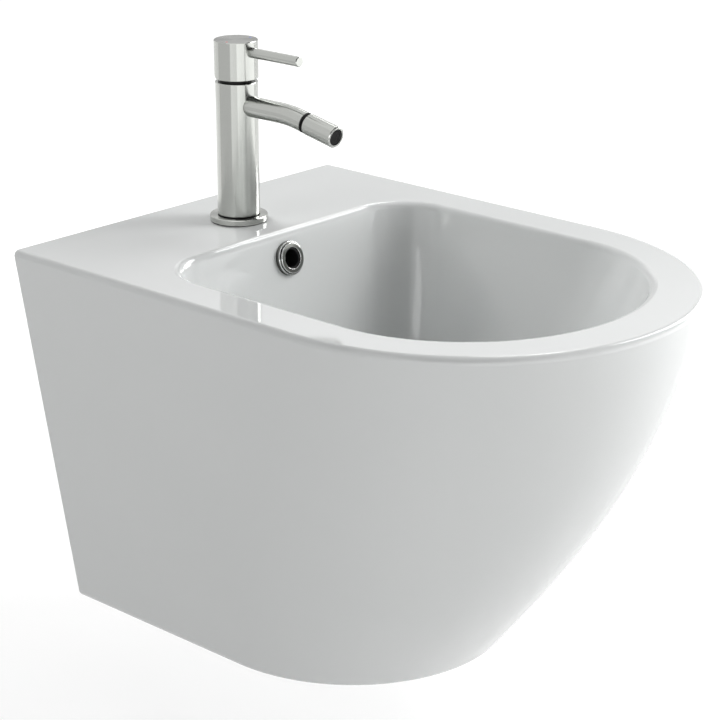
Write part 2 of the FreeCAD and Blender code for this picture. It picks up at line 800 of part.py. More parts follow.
def spout_path(body, start):
    """The spout's centre line in the plane of symmetry: a straight run, an arc and a straight tail."""
    sketch = new_sketch(body, "YZ_Plane")
    points = [flat(number(y), number(z)) for y, z in (
        (start, "spout_height"), ("-spout_run", "spout_height"), (BEND_Y, BEND_Z), (SPOUT_Y, SPOUT_Z))]
    bend_centre = flat(number("-spout_run"), number("spout_height - spout_bend"))
    run = sketch.addGeometry(Part.LineSegment(points[0], points[1]), False)
    bend = sketch.addGeometry(quarter_arc(bend_centre, points[1], points[2]), False)
    tail = sketch.addGeometry(Part.LineSegment(points[2], points[3]), False)
    join(sketch, "Tangent", run, bend)
    join(sketch, "Tangent", bend, tail)
    sketch.addConstraint(Sketcher.Constraint("Horizontal", run))
    hold_point(sketch, run, 1, start, "spout_height")
    hold(sketch, "DistanceX", -1, 1, run, 2, formula="-spout_run")
    hold(sketch, "Radius", bend, formula="spout_bend")
    hold_point(sketch, tail, 2, SPOUT_Y, SPOUT_Z)
    return sketch


def make_spout():
    start = "(-column_radius / 2)"
    tube = new_body("spout_tube")
    for kind, radius in (("AdditivePipe", "spout_radius"), ("SubtractivePipe", "spout_bore")):
        section = new_sketch(tube, "XZ_Plane", f"-{start}")
        draw_circle(section, radius, y="spout_height")
        path = spout_path(tube, start)
        doc.recompute()
        pipe = tube.newObject("PartDesign::" + kind, "pipe")
        pipe.Profile = section
        pipe.Spine = (path, ["Edge1", "Edge2", "Edge3"])
        doc.recompute()
    place(tube, y="-tap_setback", z="rim_height")
    core = doc.addObject("Part::Cylinder", "column_core")
    bind(core, Radius="column_radius", Height="2 * spout_height")
    place(core, y="-tap_setback", z="rim_height")
    spout = doc.addObject("Part::Cut", "spout_arm")
    spout.Base = tube
    spout.Tool = core
    spout.Label = "spout_arm"
    keep(spout)


def make_nozzle():
    def nozzle(body):
        return tap(body, y=BALL_Y, z=BALL_Z, turn=(X_AXIS, "90 + nozzle_tilt"))

    spout_end = "(-ball_inset - joint_gap)"
    ball = new_body("spout_ball")
    sphere(ball, "ball_radius", cut=False)
    cylinder(ball, "ball_neck", f"-{spout_end}", z=spout_end, cut=False)
    cylinder(ball, "spout_bore - fit_gap", "spout_tail", z=f"{spout_end} - spout_tail", cut=False)
    cylinder(ball, "ball_passage", "3 * ball_radius + spout_tail", z=f"{spout_end} - spout_tail")
    nozzle(ball)
    nozzle(ring("spout_end_seal", "ball_neck + fit_gap", "spout_radius - spout_seal_edge",
                spout_end, f"{spout_end} + spout_seal_thickness"))
    seat_outer = "(ball_radius + swivel_gap + seat_thickness)"
    seat = new_body("ball_seat")
    sphere(seat, seat_outer, cut=False)
    sphere(seat, "ball_radius + swivel_gap")
    cylinder(seat, f"2 * {seat_outer}", seat_outer, z="seat_front")
    cylinder(seat, f"2 * {seat_outer}", seat_outer, z=f"-seat_rear - {seat_outer}")
    nozzle(seat)
    shell = turned("nozzle_shell", [
        ("0", "-ball_inset"), ("nozzle_radius - nozzle_rear_chamfer", "-ball_inset"),
        ("nozzle_radius", "nozzle_rear_chamfer - ball_inset"),
        ("nozzle_radius", f"{NOZZLE_END} - nozzle_front_chamfer"),
        ("nozzle_radius - nozzle_front_chamfer", NOZZLE_END), ("nozzle_bore", NOZZLE_END),
        ("nozzle_bore", "0"), ("0", "0")])
    sphere(shell, f"{seat_outer} + swivel_gap")
    nozzle(shell)
    clamp_end = "(clamp_ring_start + clamp_ring_length)"
    fill = "(nozzle_bore - fit_gap)"
    nozzle(ring("nozzle_clamp_ring", "clamp_ring_bore", fill, "clamp_ring_start", clamp_end))
    seal_end = f"({clamp_end} + aerator_seal_thickness)"
    aerator_end = f"({NOZZLE_END} - aerator_recess)"
    aerator_bore = f"({fill} - aerator_wall)"
    nozzle(ring("aerator_seal", "clamp_ring_bore", fill, clamp_end, seal_end))
    nozzle(ring("aerator_housing", aerator_bore, fill, seal_end, aerator_end))
    screen_low = f"({aerator_end} - screen_thickness)"
    screen = ring("aerator_screen", "0", f"{aerator_bore} - fit_gap", screen_low, aerator_end)
    cylinder(screen, "screen_hole", "screen_thickness", z=screen_low)
    for circle in (1, 2, 3):
        hole = cylinder(screen, "screen_hole", "screen_thickness",
                        x=f"{circle} * screen_pitch", z=screen_low)
        polar(screen, hole, 6 * circle)
    nozzle(screen)


# Cartridge in the column's chamber

BASE_LOW = f"({FLOOR} + inlet_seal_height)"
BASE_TOP = f"({BASE_LOW} + cartridge_base_height)"
FIXED_TOP = f"({BASE_TOP} + fixed_disc_height)"
MOVING_LOW = f"({FIXED_TOP} + seat_gap)"
MOVING_TOP = f"({MOVING_LOW} + moving_disc_height)"
CARRIER_LOW = f"({FIXED_TOP} + carrier_rise)"
CARRIER_RING_TOP = f"({CARRIER_LOW} + carrier_ring_height)"
LID_LOW = f"({CARRIER_RING_TOP} + running_gap)"
LID_TOP = f"({LID_LOW} + cartridge_lid)"
CARTRIDGE_BORE = "(cartridge_radius - cartridge_wall)"
CARRIER_RING = f"({CARTRIDGE_BORE} - hole_gap)"
SLOT_HALF = "(slider_width / 2 + slider_side_gap)"


def make_cartridge_base():
    seal = ring("inlet_seal", "inlet_bore", "inlet_bore + inlet_seal_wall", FLOOR, BASE_LOW)
    place(seal, "inlet_spread", "-tap_setback - inlet_forward", "rim_height")
    keep_pair(seal, "inlet_seals")
    base = ring("cartridge_base", "0", "cartridge_radius", BASE_LOW, BASE_TOP)
    disc = ring("fixed_disc", "0", f"{CARTRIDGE_BORE} - fixed_disc_gap", BASE_TOP, FIXED_TOP)
    for side in ("-", ""):
        place_at = {"x": f"{side}inlet_spread", "y": "-inlet_forward"}
        cylinder(base, "inlet_bore", "cartridge_base_height", z=BASE_LOW, **place_at)
        cylinder(disc, "disc_inlet", "fixed_disc_height", z=BASE_TOP, **place_at)
    cylinder(disc, "disc_outlet", "fixed_disc_height", y="disc_outlet_setback", z=BASE_TOP)
    tap(base)
    tap(disc)


def make_cartridge_slide():
    tap(ring("moving_disc", "0", "moving_disc_radius", MOVING_LOW, MOVING_TOP))
    tip_low = f"({PIVOT} - stem_arm - stem_tip - slider_play)"
    slider_top = f"({PIVOT} - stem_arm + slider_overlap)"
    half_x = "slider_width / 2"
    half_y = "slider_length / 2"
    slider = plate("disc_slider", [(half_x, half_y), (f"-{half_x}", half_y), (f"-{half_x}", f"-{half_y}"),
                                   (half_x, f"-{half_y}")], MOVING_TOP, f"{slider_top} - {MOVING_TOP}")
    socket = "(stem_tip + slider_play)"
    box(slider, (f"-{socket}", f"-{socket}", tip_low),
        (f"2 * {socket}", f"2 * {socket}", f"{slider_top} - {tip_low}"))
    tap(slider)


def make_cartridge_carrier():
    cheek_top = f"({PIVOT} + cheek_height)"
    carrier = turned("cartridge_carrier", [
        ("0", CARRIER_LOW), (CARRIER_RING, CARRIER_LOW), (CARRIER_RING, CARRIER_RING_TOP),
        ("carrier_neck", CARRIER_RING_TOP), ("carrier_neck", cheek_top), ("0", cheek_top)])
    slot_end = f"({CARRIER_RING} - carrier_slot_end)"
    box(carrier, (f"-{SLOT_HALF}", f"-{slot_end}", CARRIER_LOW),
        (f"2 * {SLOT_HALF}", f"2 * {slot_end}", "carrier_ring_height"))
    box(carrier, (f"-{SLOT_HALF}", "-carrier_neck", CARRIER_RING_TOP),
        (f"2 * {SLOT_HALF}", "2 * carrier_neck", f"{cheek_top} - {CARRIER_RING_TOP}"))
    cylinder(carrier, "stem_pin_radius + fit_gap", "2 * carrier_neck", x="-carrier_neck", z=PIVOT,
             turn=(Y_AXIS, "90"))
    tap(carrier)
    pin_half = "(carrier_neck - running_gap)"
    tap(ring("stem_pin", "0", "stem_pin_radius", f"-{pin_half}", pin_half), z=PIVOT, turn=(Y_AXIS, "90"))


def make_cartridge_cover():
    opening = "(carrier_neck + running_gap)"
    housing = turned("cartridge_housing", [
        (CARTRIDGE_BORE, BASE_TOP), ("cartridge_radius", BASE_TOP), ("cartridge_radius", LID_TOP),
        (opening, LID_TOP), (opening, LID_LOW), (CARTRIDGE_BORE, LID_LOW)])
    box(housing, ("-outlet_window_width / 2", "-cartridge_radius", f"{FIXED_TOP} + seat_gap"),
        ("outlet_window_width", "cartridge_radius / 2", "outlet_window_height"))
    tap(housing)
    tap(ring("cartridge_nut", f"{opening} + running_gap", "chamber_bore - fit_gap", LID_TOP, COLUMN_TOP))
    dome = new_body("dome_ring")
    sphere(dome, "dome_radius", z=PIVOT, cut=False)
    sphere(dome, "dome_radius - dome_wall", z=PIVOT)
    cylinder(dome, "2 * dome_radius", "dome_radius", z=f"{COLUMN_TOP} - dome_radius")
    cylinder(dome, "dome_hole", "2 * dome_radius", z=PIVOT)
    tap(dome)


# Handle: stem, head, lever, grub screw and the two marks

def make_stem():
    stem = new_body("cartridge_stem")
    sphere(stem, "stem_tip", z=f"{PIVOT} - stem_arm", cut=False)
    cylinder(stem, "stem_neck", "stem_arm", z=f"{PIVOT} - stem_arm", cut=False)
    cylinder(stem, "stem_hub", "slider_width", x="-slider_width / 2", z=PIVOT,
             turn=(Y_AXIS, "90"), cut=False)
    cylinder(stem, "stem_radius", "stem_reach", z=PIVOT, cut=False)
    cylinder(stem, "stem_pin_radius + swivel_gap", "2 * slider_width", x="-slider_width", z=PIVOT,
             turn=(Y_AXIS, "90"))
    tap(stem)


def make_head():
    head = turned("handle_head", [
        ("0", PIVOT), ("head_radius - head_edge", PIVOT), ("head_radius", f"{PIVOT} + head_edge"),
        ("head_radius", f"{HEAD_TOP} - head_edge"), ("head_radius - head_edge", HEAD_TOP), ("0", HEAD_TOP)])
    sphere(head, "dome_radius + dome_gap", z=PIVOT)
    cylinder(head, "stem_radius + fit_gap", "stem_reach", z=PIVOT)
    cylinder(head, "lever_radius + fit_gap", "head_radius", y="-lever_inset", z=f"{PIVOT} + lever_height",
             turn=(X_AXIS, "90"))
    cylinder(head, "grub_radius + fit_gap", "2 * head_radius", z=f"{PIVOT} + grub_height",
             turn=(X_AXIS, "-90"))
    for side in ("-", ""):
        cylinder(head, "mark_radius", "2 * mark_depth", x=f"{side}mark_spread", y="-mark_forward",
                 z=f"{HEAD_TOP} - mark_depth")
    relief = box(head, ("0", "0", "0"), ("2 * head_radius", "2 * head_radius", "head_radius"))
    place(relief, "-head_radius", "lift_relief_start + head_radius * sin(lift_angle)",
          f"{PIVOT} - head_radius * cos(lift_angle)", turn=(X_AXIS, "lift_angle"))
    tap(head)


def make_handle():
    make_stem()
    make_head()
    tap(turned("handle_lever", [
        ("0", "lever_inset"), ("lever_radius", "lever_inset"), ("lever_radius", "lever_reach - lever_edge"),
        ("lever_radius - lever_edge", "lever_reach"), ("0", "lever_reach")]),
        z=f"{PIVOT} + lever_height", turn=(X_AXIS, "90"))
    grub_start = "(stem_radius + fit_gap)"
    cap_end = "(head_radius - 2 * head_edge)"
    for label, low, high in (("handle_grub_screw", grub_start, f"{grub_start} + grub_length"),
                             ("handle_grub_cap", f"{cap_end} - grub_cap_length", cap_end)):
        tap(ring(label, "0", "grub_radius", low, high), z=f"{PIVOT} + grub_height", turn=(X_AXIS, "-90"))
    for label, side in (("hot_mark", "-"), ("cold_mark", "")):
        mark = ring(label, "0", "mark_radius", f"{HEAD_TOP} - mark_depth", HEAD_TOP)
        tap(mark, x=f"{side}mark_spread", y="-mark_forward")


# Waste heights are measured up from the bowl's floor, on the drain's axis

FLANGE_LOW = f"(waste_seal_thickness - {RECESS_DEPTH})"
CERAMIC_LOW = f"(bowl_depth - {DRAIN_END})"
BARREL_BORE = "(barrel_radius - barrel_wall)"


def waste(body):
    return keep(place(body, y="-drain_setback", z="rim_height - bowl_depth"))


def make_waste_body():
    body = turned("waste_body", [
        (BARREL_BORE, "-barrel_length"), ("barrel_radius", "-barrel_length"), ("barrel_radius", FLANGE_LOW),
        ("waste_flange", FLANGE_LOW), ("waste_flange", "waste_lip"), (BARREL_BORE, "waste_lip")])
    arm_half = f"({BARREL_BORE} + barrel_wall / 2)"
    hub_low = "(-hub_level - hub_height)"
    for reach_x, reach_y in ((arm_half, "hub_arm_width / 2"), ("hub_arm_width / 2", arm_half)):
        box(body, (f"-{reach_x}", f"-{reach_y}", hub_low),
            (f"2 * {reach_x}", f"2 * {reach_y}", "hub_height"), cut=False)
    cylinder(body, "hub_radius", "hub_height", z=hub_low, cut=False)
    slot_low = "(-bowl_wall - drain_chamber_height / 2 - overflow_slot_height / 2)"
    slot = box(body, (f"{BARREL_BORE} - barrel_wall", "-overflow_slot_width / 2", slot_low),
               ("3 * barrel_wall", "overflow_slot_width", "overflow_slot_height"))
    polar(body, slot, 4)
    waste(body)


def make_waste():
    make_waste_body()
    clear = "(barrel_radius + fit_gap)"
    waste(ring("waste_top_seal", clear, "waste_flange", f"-{RECESS_DEPTH}", FLANGE_LOW))
    seal_low = f"({CERAMIC_LOW} - bottom_seal_thickness)"
    waste(ring("waste_bottom_seal", clear, "bottom_seal_radius", seal_low, CERAMIC_LOW))
    nut_low = f"({seal_low} - back_nut_height)"
    nut = plate("waste_back_nut", hexagon("back_nut_flats"), nut_low, "back_nut_height")
    cylinder(nut, clear, "back_nut_height", z=nut_low)
    waste(nut)
    seat = "(-barrel_length - tail_seal_thickness)"
    tail_bore = "(tail_radius - tail_wall)"
    waste(ring("tailpiece_seal", tail_bore, "barrel_radius", seat, "-barrel_length"))
    collar = f"({clear} + tail_collar_wall)"
    collar_low = f"({seat} - tail_collar_floor)"
    collar_top = "(tail_collar_grip - barrel_length)"
    tail_end = f"({collar_low} - tail_length)"
    waste(turned("waste_tailpiece", [
        (tail_bore, tail_end), ("tail_radius", tail_end), ("tail_radius", collar_low), (collar, collar_low),
        (collar, collar_top), (clear, collar_top), (clear, seat), (tail_bore, seat)]))


def make_plug():
    seat = "(waste_lip + seat_gap)"
    cap_low = f"({seat} + plug_seal_height)"
    cap_top = f"({cap_low} + plug_cap_thickness)"
    piston_low = "(plug_spring_height - hub_level)"
    piston_top = f"({piston_low} + plug_piston_height)"
    rod_top = f"({cap_low} + plug_cap_thickness / 2)"
    waste(ring("plug_seal", "plug_seal_inner", "plug_seal_outer", seat, cap_low))
    cap = turned("plug_cap", [
        ("0", cap_low), ("plug_cap", cap_low), ("plug_cap", f"{cap_top} - plug_cap_crown"),
        ("plug_cap - 2 * plug_cap_crown", cap_top), ("0", cap_top)])
    cylinder(cap, "plug_rod + fit_gap", "plug_cap_thickness / 2", z=cap_low)
    waste(cap)
    waste(turned("plug_stem", [
        ("0", piston_low), ("plug_piston", piston_low), ("plug_piston", piston_top),
        ("plug_rod", piston_top), ("plug_rod", rod_top), ("0", rod_top)]))
    waste(ring("click_housing", "click_bore", "hub_radius", "-hub_level",
               f"{piston_top} + plug_travel + click_rim"))
    spring_outer = "(click_bore - running_gap)"
    waste(ring("plug_spring", f"{spring_outer} - plug_spring_wall", spring_outer, "-hub_level", piston_low))


make_ceramic()
make_wall_fixings()
make_overflow()
make_tap_column()
make_tap_fastening()
make_spout()
make_nozzle()
make_cartridge_base()
make_cartridge_slide()
make_cartridge_carrier()
make_cartridge_cover()
make_handle()
make_waste()
make_plug()
doc.recompute()

failed = [item.Label for item in doc.Objects if "Invalid" in item.State or "Error" in item.State]
failed += [piece.Label for piece in pieces if piece.Shape.isNull() or not piece.Shape.isValid()]
if failed:
    raise RuntimeError("these objects failed: " + ", ".join(failed))

os.makedirs("parts", exist_ok=True)
for piece in pieces:
    piece.Shape.exportStep(f"parts/{piece.Label}.step")
print(len(pieces), "sub-parts written")
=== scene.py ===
import json
import bpy
from math import cos, pi, sin
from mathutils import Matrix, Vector


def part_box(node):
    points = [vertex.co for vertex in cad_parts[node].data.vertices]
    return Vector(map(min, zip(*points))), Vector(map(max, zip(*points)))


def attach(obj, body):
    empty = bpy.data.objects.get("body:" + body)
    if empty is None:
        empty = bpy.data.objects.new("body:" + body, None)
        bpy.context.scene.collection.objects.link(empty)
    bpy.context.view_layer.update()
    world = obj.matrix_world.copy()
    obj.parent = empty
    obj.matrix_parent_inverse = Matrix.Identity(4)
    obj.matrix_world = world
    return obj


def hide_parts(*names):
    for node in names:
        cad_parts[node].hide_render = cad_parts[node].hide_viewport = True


# Wall-hung bidet with a single-lever mixer tap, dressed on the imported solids. Metres, +Z up, front -Y.

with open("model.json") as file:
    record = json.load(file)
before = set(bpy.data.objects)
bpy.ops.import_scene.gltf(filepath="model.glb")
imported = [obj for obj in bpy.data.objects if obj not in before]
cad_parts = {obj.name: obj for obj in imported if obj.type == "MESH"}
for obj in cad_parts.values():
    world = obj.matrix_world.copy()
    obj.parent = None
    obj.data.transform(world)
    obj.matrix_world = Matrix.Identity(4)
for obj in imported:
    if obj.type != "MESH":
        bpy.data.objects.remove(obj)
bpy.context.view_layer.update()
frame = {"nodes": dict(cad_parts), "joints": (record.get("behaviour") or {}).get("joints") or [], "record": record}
nodes = frame["nodes"]
joints = {joint["name"]: joint for joint in frame["joints"]}
scene = bpy.context.scene
scene.view_settings.view_transform = "Standard"


# Places on the tap, from the frame

UP = Vector((0, 0, 1))
FORWARD = Vector((0, -1, 0))
TAP_AXIS = Vector((0, joints["handle_turn"]["pos_m"][1], 0))
HEAD_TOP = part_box("handle_head")[1].z
GROOVE_HEIGHT = 0.001
COLUMN_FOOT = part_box("tap_base_ring")[1].z + GROOVE_HEIGHT

lever_low, lever_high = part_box("handle_lever")
LEVER_CENTRE = Vector((0, TAP_AXIS.y, (lever_low.z + lever_high.z) / 2))

# The spout leaves the column level, with its centre a radius below its top.
spout_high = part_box("spout_arm")[1]
SPOUT_CENTRE = Vector((0, TAP_AXIS.y, spout_high.z - spout_high.x))

NOZZLE_CENTRE = Vector(joints["nozzle_yaw"]["pos_m"])
NOZZLE_AXIS = Vector(joints["nozzle_pitch"]["axis"]).cross(Vector(joints["nozzle_yaw"]["axis"]))
nozzle_points = [vertex.co for vertex in nodes["nozzle_shell"].data.vertices]
NOZZLE_END = max((point - NOZZLE_CENTRE).dot(NOZZLE_AXIS) for point in nozzle_points)


# Helpers for node materials

# A mix node has several sockets of one name, so its colours go by number.
MIX_FACTOR = 0
MIX_FIRST = 6
MIX_SECOND = 7
MIX_COLOUR = 2


def feed(socket, value):
    """Links a node's output to a socket, or sets a fixed value on it."""
    if isinstance(value, bpy.types.NodeSocket):
        socket.id_data.links.new(value, socket)
    else:
        socket.default_value = value


def mixed(tree, factor, first, second):
    """A colour that goes from first to second as the factor goes from 0 to 1."""
    node = tree.nodes.new("ShaderNodeMix")
    node.data_type = "RGBA"
    feed(node.inputs[MIX_FACTOR], factor)
    feed(node.inputs[MIX_FIRST], first)
    feed(node.inputs[MIX_SECOND], second)
    return node.outputs[MIX_COLOUR]


def seen_ray(tree):
    """One where a ray is from the camera, glossy or transmitted, and 0 elsewhere."""
    path = tree.nodes.new("ShaderNodeLightPath")
    total = path.outputs["Is Camera Ray"]
    for name in ("Is Glossy Ray", "Is Transmission Ray"):
        step = tree.nodes.new("ShaderNodeMath")
        step.operation = "MAXIMUM"
        feed(step.inputs[0], total)
        feed(step.inputs[1], path.outputs[name])
        total = step.outputs[0]
    return total


class Shader:
    """A new material with a Principled shader and short calls that add nodes to it."""

    def __init__(self, name):
        self.material = bpy.data.materials.new(name)
        self.material.use_nodes = True
        self.tree = self.material.node_tree
        self.surface = self.tree.nodes["Principled BSDF"]
        self.place = self.add("ShaderNodeTexCoord").outputs["Object"]

    def add(self, kind, **settings):
        """A new node with its properties set."""
        node = self.tree.nodes.new(kind)
        for key, value in settings.items():
            setattr(node, key, value)
        return node

    def set(self, **values):
        """Values on the Principled shader, with underscores for the spaces in socket names."""
        for key, value in values.items():
            feed(self.surface.inputs[key.replace("_", " ")], value)

    def finish_with(self, shader):
        """Another shader as the material's surface."""
        feed(self.tree.nodes["Material Output"].inputs["Surface"], shader)

    def vector(self, operation, *values, output="Vector"):
        node = self.add("ShaderNodeVectorMath", operation=operation)
        for socket, value in zip(node.inputs, values):
            feed(socket, value)
        return node.outputs[output]

    def scaled(self, vector, factor):
        node = self.add("ShaderNodeVectorMath", operation="SCALE")
        feed(node.inputs["Vector"], vector)
        feed(node.inputs["Scale"], factor)
        return node.outputs["Vector"]

    def noise(self, where, scale, detail=2, rough=0.5):
        node = self.add("ShaderNodeTexNoise")
        for name, value in (("Vector", where), ("Scale", scale), ("Detail", detail), ("Roughness", rough)):
            feed(node.inputs[name], value)
        return node.outputs["Fac"]

    def spread(self, value, low, high, start=0.3, end=0.7):
        """A number from low to high as the value goes from start to end."""
        node = self.add("ShaderNodeMapRange")
        feed(node.inputs["Value"], value)
        for name, number in (("From Min", start), ("From Max", end), ("To Min", low), ("To Max", high)):
            feed(node.inputs[name], number)
        return node.outputs["Result"]

    def paint(self, low, high, value):
        """A colour from low to high as the value goes from 0 to 1."""
        self.set(Base_Color=mixed(self.tree, value, (*low, 1), (*high, 1)))

    def repaint(self, tone, value):
        """Another colour over the paint where the value is 1."""
        paint = self.surface.inputs["Base Color"].links[0].from_socket
        self.set(Base_Color=mixed(self.tree, value, paint, (*tone, 1)))

    def polish(self, value, low, high):
        """A roughness from low to high with the value."""
        self.set(Roughness=self.spread(value, low, high))

    def stretch(self, direction):
        """Sets the tangent that stretches highlights, in a direction that turns with the piece."""
        node = self.add("ShaderNodeVectorTransform", vector_type="VECTOR",
                        convert_from="OBJECT", convert_to="WORLD")
        feed(node.inputs["Vector"], direction)
        self.set(Tangent=node.outputs["Vector"])

    def bump(self, value, strength, depth):
        node = self.add("ShaderNodeBump")
        for name, number in (("Height", value), ("Strength", strength), ("Distance", depth)):
            feed(node.inputs[name], number)
        self.set(Normal=node.outputs["Normal"])


# Finishes

# How far the tangent of brushed nickel leans outward, and its noise per metre all over and along the axis
BRUSH_SLANT = 0.1
BRUSH_DRIFT = 45
BRUSH_LINES = 9000
# How far below an end the painted tone of its face starts and is full, and how far the painted shade of a groove
# fades upward
PAINTED_FACE_START = 0.0003
PAINTED_FACE_FULL = 0.0001
GROOVE_SHADE_FADE = 0.0002
# Near black painted shade for the shaded groove at the column foot
GROOVE_PAINTED_SHADE = (0.015, 0.015, 0.015)
# Near white painted highlight on the nozzle's end face
NOZZLE_END_PAINTED_HIGHLIGHT = (0.93, 0.93, 0.9)
# Darker painted shade on the head's top face
HEAD_TOP_PAINTED_SHADE = (0.33, 0.335, 0.32)
SCREEN_SHINE = 0.15


def glaze(name):
    """White gloss glaze with a faint waviness and tone."""
    shader = Shader(name)
    tone = shader.noise(shader.place, scale=9, detail=3)
    shader.paint((0.684, 0.70, 0.696), (0.713, 0.725, 0.721), tone)
    shader.polish(shader.noise(shader.place, scale=40), low=0.03, high=0.06)
    shader.bump(shader.noise(shader.place, scale=55, detail=1), strength=0.02, depth=0.0004)
    shader.set(IOR=1.52)
    return shader.material


def brushed(name, centre, axis, end=None, face=None, groove=None):
    """Nickel brushed in fine lines round an axis.

    The face at an end along the axis can take a painted highlight or painted shade, and the piece can take painted
    shade below the top of a groove.
    """
    shader = Shader(name)
    offset = shader.vector("SUBTRACT", shader.place, centre)
    along = shader.vector("DOT_PRODUCT", offset, axis, output="Value")
    lengthwise = shader.scaled(axis, along)
    radial = shader.vector("NORMALIZE", shader.vector("SUBTRACT", offset, lengthwise))
    shader.stretch(shader.vector("ADD", shader.scaled(radial, BRUSH_SLANT), axis))
    drift = shader.scaled(offset, BRUSH_DRIFT)
    lines = shader.scaled(lengthwise, BRUSH_LINES)
    grain = shader.noise(shader.vector("ADD", drift, lines), scale=1, detail=3, rough=0.6)
    shader.paint((0.43, 0.44, 0.42), (0.49, 0.50, 0.475), grain)
    shader.polish(grain, low=0.14, high=0.19)
    # Painted highlight or painted shade on the end face, as the caller gives it
    if end:
        shader.repaint(face, shader.spread(along, 0, 1, end - PAINTED_FACE_START, end - PAINTED_FACE_FULL))
    # Painted shade below the top of the groove
    if groove:
        shader.repaint(GROOVE_PAINTED_SHADE, shader.spread(along, 1, 0, groove, groove + GROOVE_SHADE_FADE))
    shader.bump(grain, strength=0.05, depth=0.00003)
    shader.set(Metallic=1, Anisotropic=0.92)
    return shader.material


def mottled(name, low, high, rough, scale, detail):
    """A finish with small patches of tone and polish, and the patches for its bump."""
    shader = Shader(name)
    patches = shader.noise(shader.place, scale, detail)
    shader.paint(low, high, patches)
    shader.polish(patches, *rough)
    return shader, patches


def metal(name, low, high, rough, scale=120):
    """Plain metal."""
    shader, patches = mottled(name, low, high, rough, scale, detail=4)
    shader.bump(patches, strength=0.05, depth=0.00005)
    shader.set(Metallic=1)
    return shader.material


def moulded(name, low, high, rough, shine=0.5):
    """Rubber, plastic or fired discs with a fine moulded surface."""
    shader, grain = mottled(name, low, high, rough, scale=900, detail=3)
    shader.bump(grain, strength=0.1, depth=0.0001)
    shader.set(Specular_IOR_Level=shine)
    return shader.material


finishes = {
    "white_glaze": glaze("white_glaze"),
    "brushed_nickel": brushed("brushed_nickel", TAP_AXIS, UP),
    "chrome": metal("chrome", (0.70, 0.71, 0.71), (0.80, 0.80, 0.80), (0.05, 0.12)),
    "zinc_steel": metal("zinc_steel", (0.50, 0.51, 0.52), (0.64, 0.65, 0.66), (0.28, 0.45), scale=240),
    "plain_brass": metal("plain_brass", (0.62, 0.46, 0.20), (0.74, 0.58, 0.30), (0.22, 0.36), scale=300),
    "black_rubber": moulded("black_rubber", (0.012, 0.012, 0.012), (0.03, 0.03, 0.03), (0.55, 0.75)),
    "black_plastic": moulded("black_plastic", (0.008, 0.008, 0.009), (0.02, 0.02, 0.021), (0.35, 0.5)),
    "white_plastic": moulded("white_plastic", (0.74, 0.74, 0.71), (0.82, 0.82, 0.79), (0.35, 0.5)),
    "alumina": moulded("alumina", (0.78, 0.77, 0.73), (0.86, 0.85, 0.82), (0.2, 0.3)),
    "red_mark": moulded("red_mark", (0.70, 0.035, 0.02), (0.82, 0.06, 0.04), (0.15, 0.25)),
    "blue_mark": moulded("blue_mark", (0.03, 0.06, 0.62), (0.06, 0.10, 0.78), (0.15, 0.25)),
}
own_finish = {
    "handle_lever": brushed("brushed_nickel_lever", LEVER_CENTRE, FORWARD),
    # Painted shade on the head's top face
    "handle_head": brushed("brushed_nickel_head", TAP_AXIS, UP, HEAD_TOP, HEAD_TOP_PAINTED_SHADE),
    # Painted shade in the groove at the column foot
    "tap_body": brushed("brushed_nickel_column", TAP_AXIS, UP, groove=COLUMN_FOOT),
    "spout_arm": brushed("brushed_nickel_spout", SPOUT_CENTRE, FORWARD),
    # Painted highlight on the nozzle's end face
    "nozzle_shell": brushed("brushed_nickel_nozzle", NOZZLE_CENTRE, NOZZLE_AXIS,
                            NOZZLE_END, NOZZLE_END_PAINTED_HIGHLIGHT),
    "aerator_screen": moulded("dark_screen", (0.003, 0.003, 0.004), (0.04, 0.04, 0.04), (0.4, 0.6),
                              SCREEN_SHINE),
    # The dome ring, seen in the gap under the head, near black as painted shade
    "dome_ring": metal("painted_shade_nickel", (0.015, 0.015, 0.015), (0.03, 0.03, 0.03), (0.3, 0.4)),
}
# The overflow ring's nickel darkened as painted shade, to the tone of its reflection
overflow_painted_shade = metal("overflow_nickel_painted_shade", (0.20, 0.205, 0.19), (0.24, 0.245, 0.23), (0.06, 0.1))

for part in frame["record"]["subparts"]:
    mesh = nodes[part["node"]].data
    mesh.materials.clear()
    mesh.materials.append(own_finish.get(part["node"], finishes[part["material_slot"]]))


# Helpers for new objects

def put(name, data, place=(0, 0, 0)):
    """A new object in the scene."""
    item = bpy.data.objects.new(name, data)
    scene.collection.objects.link(item)
    item.location = place
    return item


def turn_to(item, direction, front):
    """Turns an object so that its front axis looks along a direction."""
    item.rotation_mode = "QUATERNION"
    item.rotation_quaternion = Vector(direction).to_track_quat(front, "Y")


# Overflow ring with a flat face and finely rounded edges

OVERFLOW_SEAT = Vector((0, -0.123644, 0.062809))
OVERFLOW_AXIS = Vector((0, -0.970959, 0.239244))
OVERFLOW_BORE = 0.0088
TUBE_RADIUS = 0.0106
TUBE_LENGTH = 0.011
RING_RADIUS = 0.014
RING_STEP = 0.004
RING_HEIGHT = 0.0055
FACE_RADIUS = RING_RADIUS - (RING_HEIGHT - RING_STEP)
OUTER_ROUND = 0.0005
INNER_ROUND = 0.0004
# Steps round the ring and an edge, the angle of a sharp edge in radians, and lengths along the outline
RING_TURNS = 128
EDGE_STEPS = 4
SHARP_ANGLE = 0.6
SUPPORT = 0.00008
LONG_RUN = 4 * SUPPORT
EDGE_RUN = 0.00025

# Which way a corner lies from the middle of the arc that rounds it, for the outer and the inner edge.
QUARTERS = ((1, 1), (-1, 1))
OUTER_EDGE = 0
INNER_EDGE = 1


def rounded(corner, radius, edge):
    """Points of the quarter circle that rounds an outer or inner edge."""
    middle = (corner[0] - radius * QUARTERS[edge][0], corner[1] - radius * QUARTERS[edge][1])
    points = []
    for step in range(EDGE_STEPS + 1):
        angle = (edge + step / EDGE_STEPS) * pi / 2
        points.append((middle[0] + radius * cos(angle), middle[1] + radius * sin(angle)))
    return points


